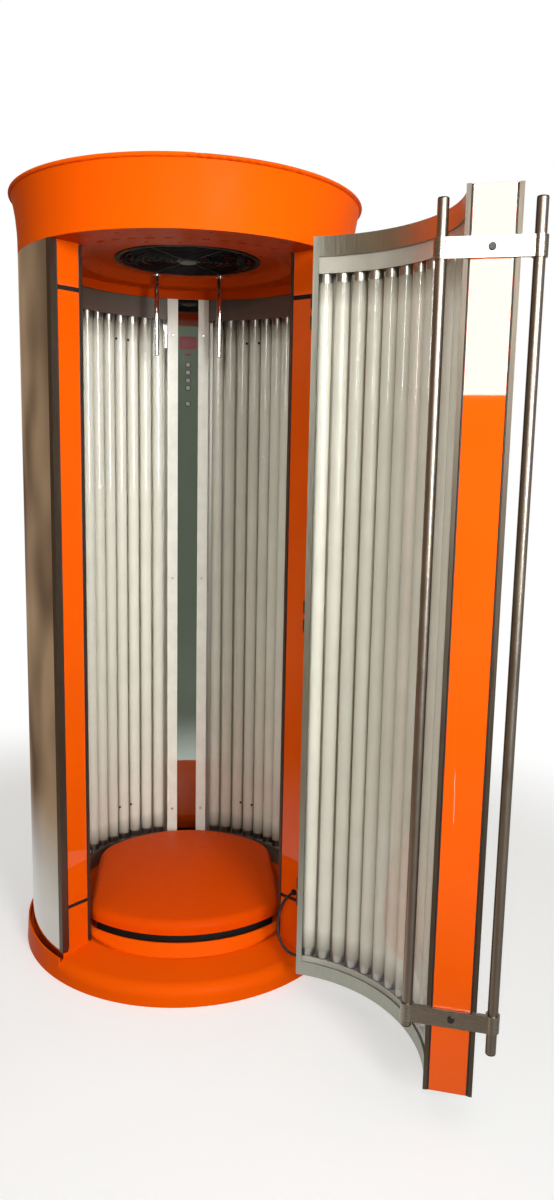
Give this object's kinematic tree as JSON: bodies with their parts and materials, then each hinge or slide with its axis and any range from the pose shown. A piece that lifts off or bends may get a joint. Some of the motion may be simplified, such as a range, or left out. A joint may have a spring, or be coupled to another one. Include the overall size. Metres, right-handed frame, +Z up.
{
  "type": "vertical tanning booth",
  "caption": "Stand-up tanning booth: round mirror-skinned cabin with ultraviolet lamps, domed platform, orange canopy and base, and a curved lamp door on side hinges.",
  "frame": {"origin": "on the booth's upright axis, at the floor", "axes": "+Z up, the doorway faces -Y, +X is the side of the door hinges"},
  "size_m": [1.2271, 1.5511, 2.25],
  "materials": {
    "clear_acrylic": "clear ultraviolet-grade acrylic",
    "mirror_skin": "mirror-polished metal sheet",
    "ballast_steel": "pale grey coated steel housing",
    "steel_frame": "black powder-coated steel",
    "orange_shell": "glossy orange moulded shell with a faint orange-peel texture",
    "button_light": "pale translucent button",
    "dark_rail": "dark brown-grey coated sheet",
    "orange_ceiling": "satin orange moulded ceiling",
    "mirror_fascia": "dark tinted mirror strip",
    "white_profile": "glossy warm white profile",
    "zinc_steel": "zinc-plated steel",
    "board_green": "green circuit board",
    "display_red": "dark red display window",
    "orange_cover": "satin orange powder coat on folded sheet",
    "anodised_trim": "satin anodised aluminium",
    "grey_frame": "satin grey anodised aluminium",
    "black_cable": "black rubber cable sheath",
    "lamp_end": "bright lamp end cap with two pins",
    "lamp_glass": "white phosphor-coated fluorescent tube",
    "white_holder": "white moulded lampholder",
    "reflector_sheet": "bright specular aluminium reflector",
    "black_plastic": "matt black moulded plastic",
    "bright_steel": "bright chrome plate",
    "dark_bolt": "black oxide steel",
    "handle_tube": "polished anodised aluminium tube",
    "black_plinth": "matt black plastic",
    "orange_platform": "satin orange moulded shell"
  },
  "bodies": {
    "booth": {"acrylic_left": "clear_acrylic", "acrylic_right": "clear_acrylic", "back_skin": "mirror_skin", "ballasts": "ballast_steel", "base_frame": "steel_frame", "base_tray": "orange_shell", "canopy_lid": "dark_rail", "canopy_shell": "orange_shell", "ceiling_panel": "orange_ceiling", "column_fascia": "mirror_fascia", "column_profiles": "white_profile", "column_screws": "zinc_steel", "column_spine": "zinc_steel", "display_board": "board_green", "display_window": "display_red", "door_harness": "black_cable", "fan_bracket": "zinc_steel", "fan_guard": "black_plastic", "fan_motor": "steel_frame", "hand_grips": "bright_steel", "harness_gland_body": "black_plastic", "hinge_body_leaves": "anodised_trim", "hinge_pins": "zinc_steel", "jamb_posts": "black_plinth", "jamb_trims": "anodised_trim", "lamp_caps": "lamp_end", "lamp_tubes": "lamp_glass", "lampholder_rails": "dark_rail", "lampholders": "white_holder", "left_jamb_covers": "orange_cover", "mains_gland": "black_plastic", "platform": "orange_platform", "platform_plinth": "black_plinth", "reflectors": "reflector_sheet", "right_jamb_covers": "orange_cover", "side_skins": "mirror_skin", "skin_joint_strips": "anodised_trim", "terminal_box": "black_plastic", "wall_frame": "steel_frame"},
    "door": {"door_acrylic": "clear_acrylic", "door_end_cover": "orange_cover", "door_end_trims": "anodised_trim", "door_frame": "grey_frame", "door_lamp_caps": "lamp_end", "door_lamp_tubes": "lamp_glass", "door_lampholder_rails": "white_holder", "door_lampholders": "white_holder", "door_reflector": "reflector_sheet", "door_skin": "mirror_skin", "handle_bolts": "dark_bolt", "handle_straps": "anodised_trim", "handle_tubes": "handle_tube", "harness_gland_door": "black_plastic", "hinge_door_leaves": "anodised_trim"},
    "fan_rotor": {"fan_impeller": "black_plastic"},
    "button_1": {"button_1": "button_light"},
    "button_2": {"button_2": "button_light"},
    "button_3": {"button_3": "button_light"},
    "button_4": {"button_4": "button_light"},
    "button_5": {"button_5": "button_light"}
  },
  "joints": [
    {"name": "door_swing", "type": "hinge", "parent": "booth", "child": "door", "pos_m": [0.36247, -0.37005, 0], "axis": [0, 0, 1], "range_deg": [-116, 20], "deforming": ["door_harness"]},
    {"name": "fan_spin", "type": "hinge", "parent": "booth", "child": "fan_rotor", "pos_m": [0, 0, 2.114], "axis": [0, 0, 1], "continuous": true},
    {"name": "button_1_press", "type": "slide", "parent": "booth", "child": "button_1", "axis": [0, 1, 0], "range_m": [0, 0.0012], "stiffness_N_per_m": 400, "springref_m": -0.0008},
    {"name": "button_2_press", "type": "slide", "parent": "booth", "child": "button_2", "axis": [0, 1, 0], "range_m": [0, 0.0012], "stiffness_N_per_m": 400, "springref_m": -0.0008},
    {"name": "button_3_press", "type": "slide", "parent": "booth", "child": "button_3", "axis": [0, 1, 0], "range_m": [0, 0.0012], "stiffness_N_per_m": 400, "springref_m": -0.0008},
    {"name": "button_4_press", "type": "slide", "parent": "booth", "child": "button_4", "axis": [0, 1, 0], "range_m": [0, 0.0012], "stiffness_N_per_m": 400, "springref_m": -0.0008},
    {"name": "button_5_press", "type": "slide", "parent": "booth", "child": "button_5", "axis": [0, 1, 0], "range_m": [0, 0.0012], "stiffness_N_per_m": 400, "springref_m": -0.0008}
  ]
}
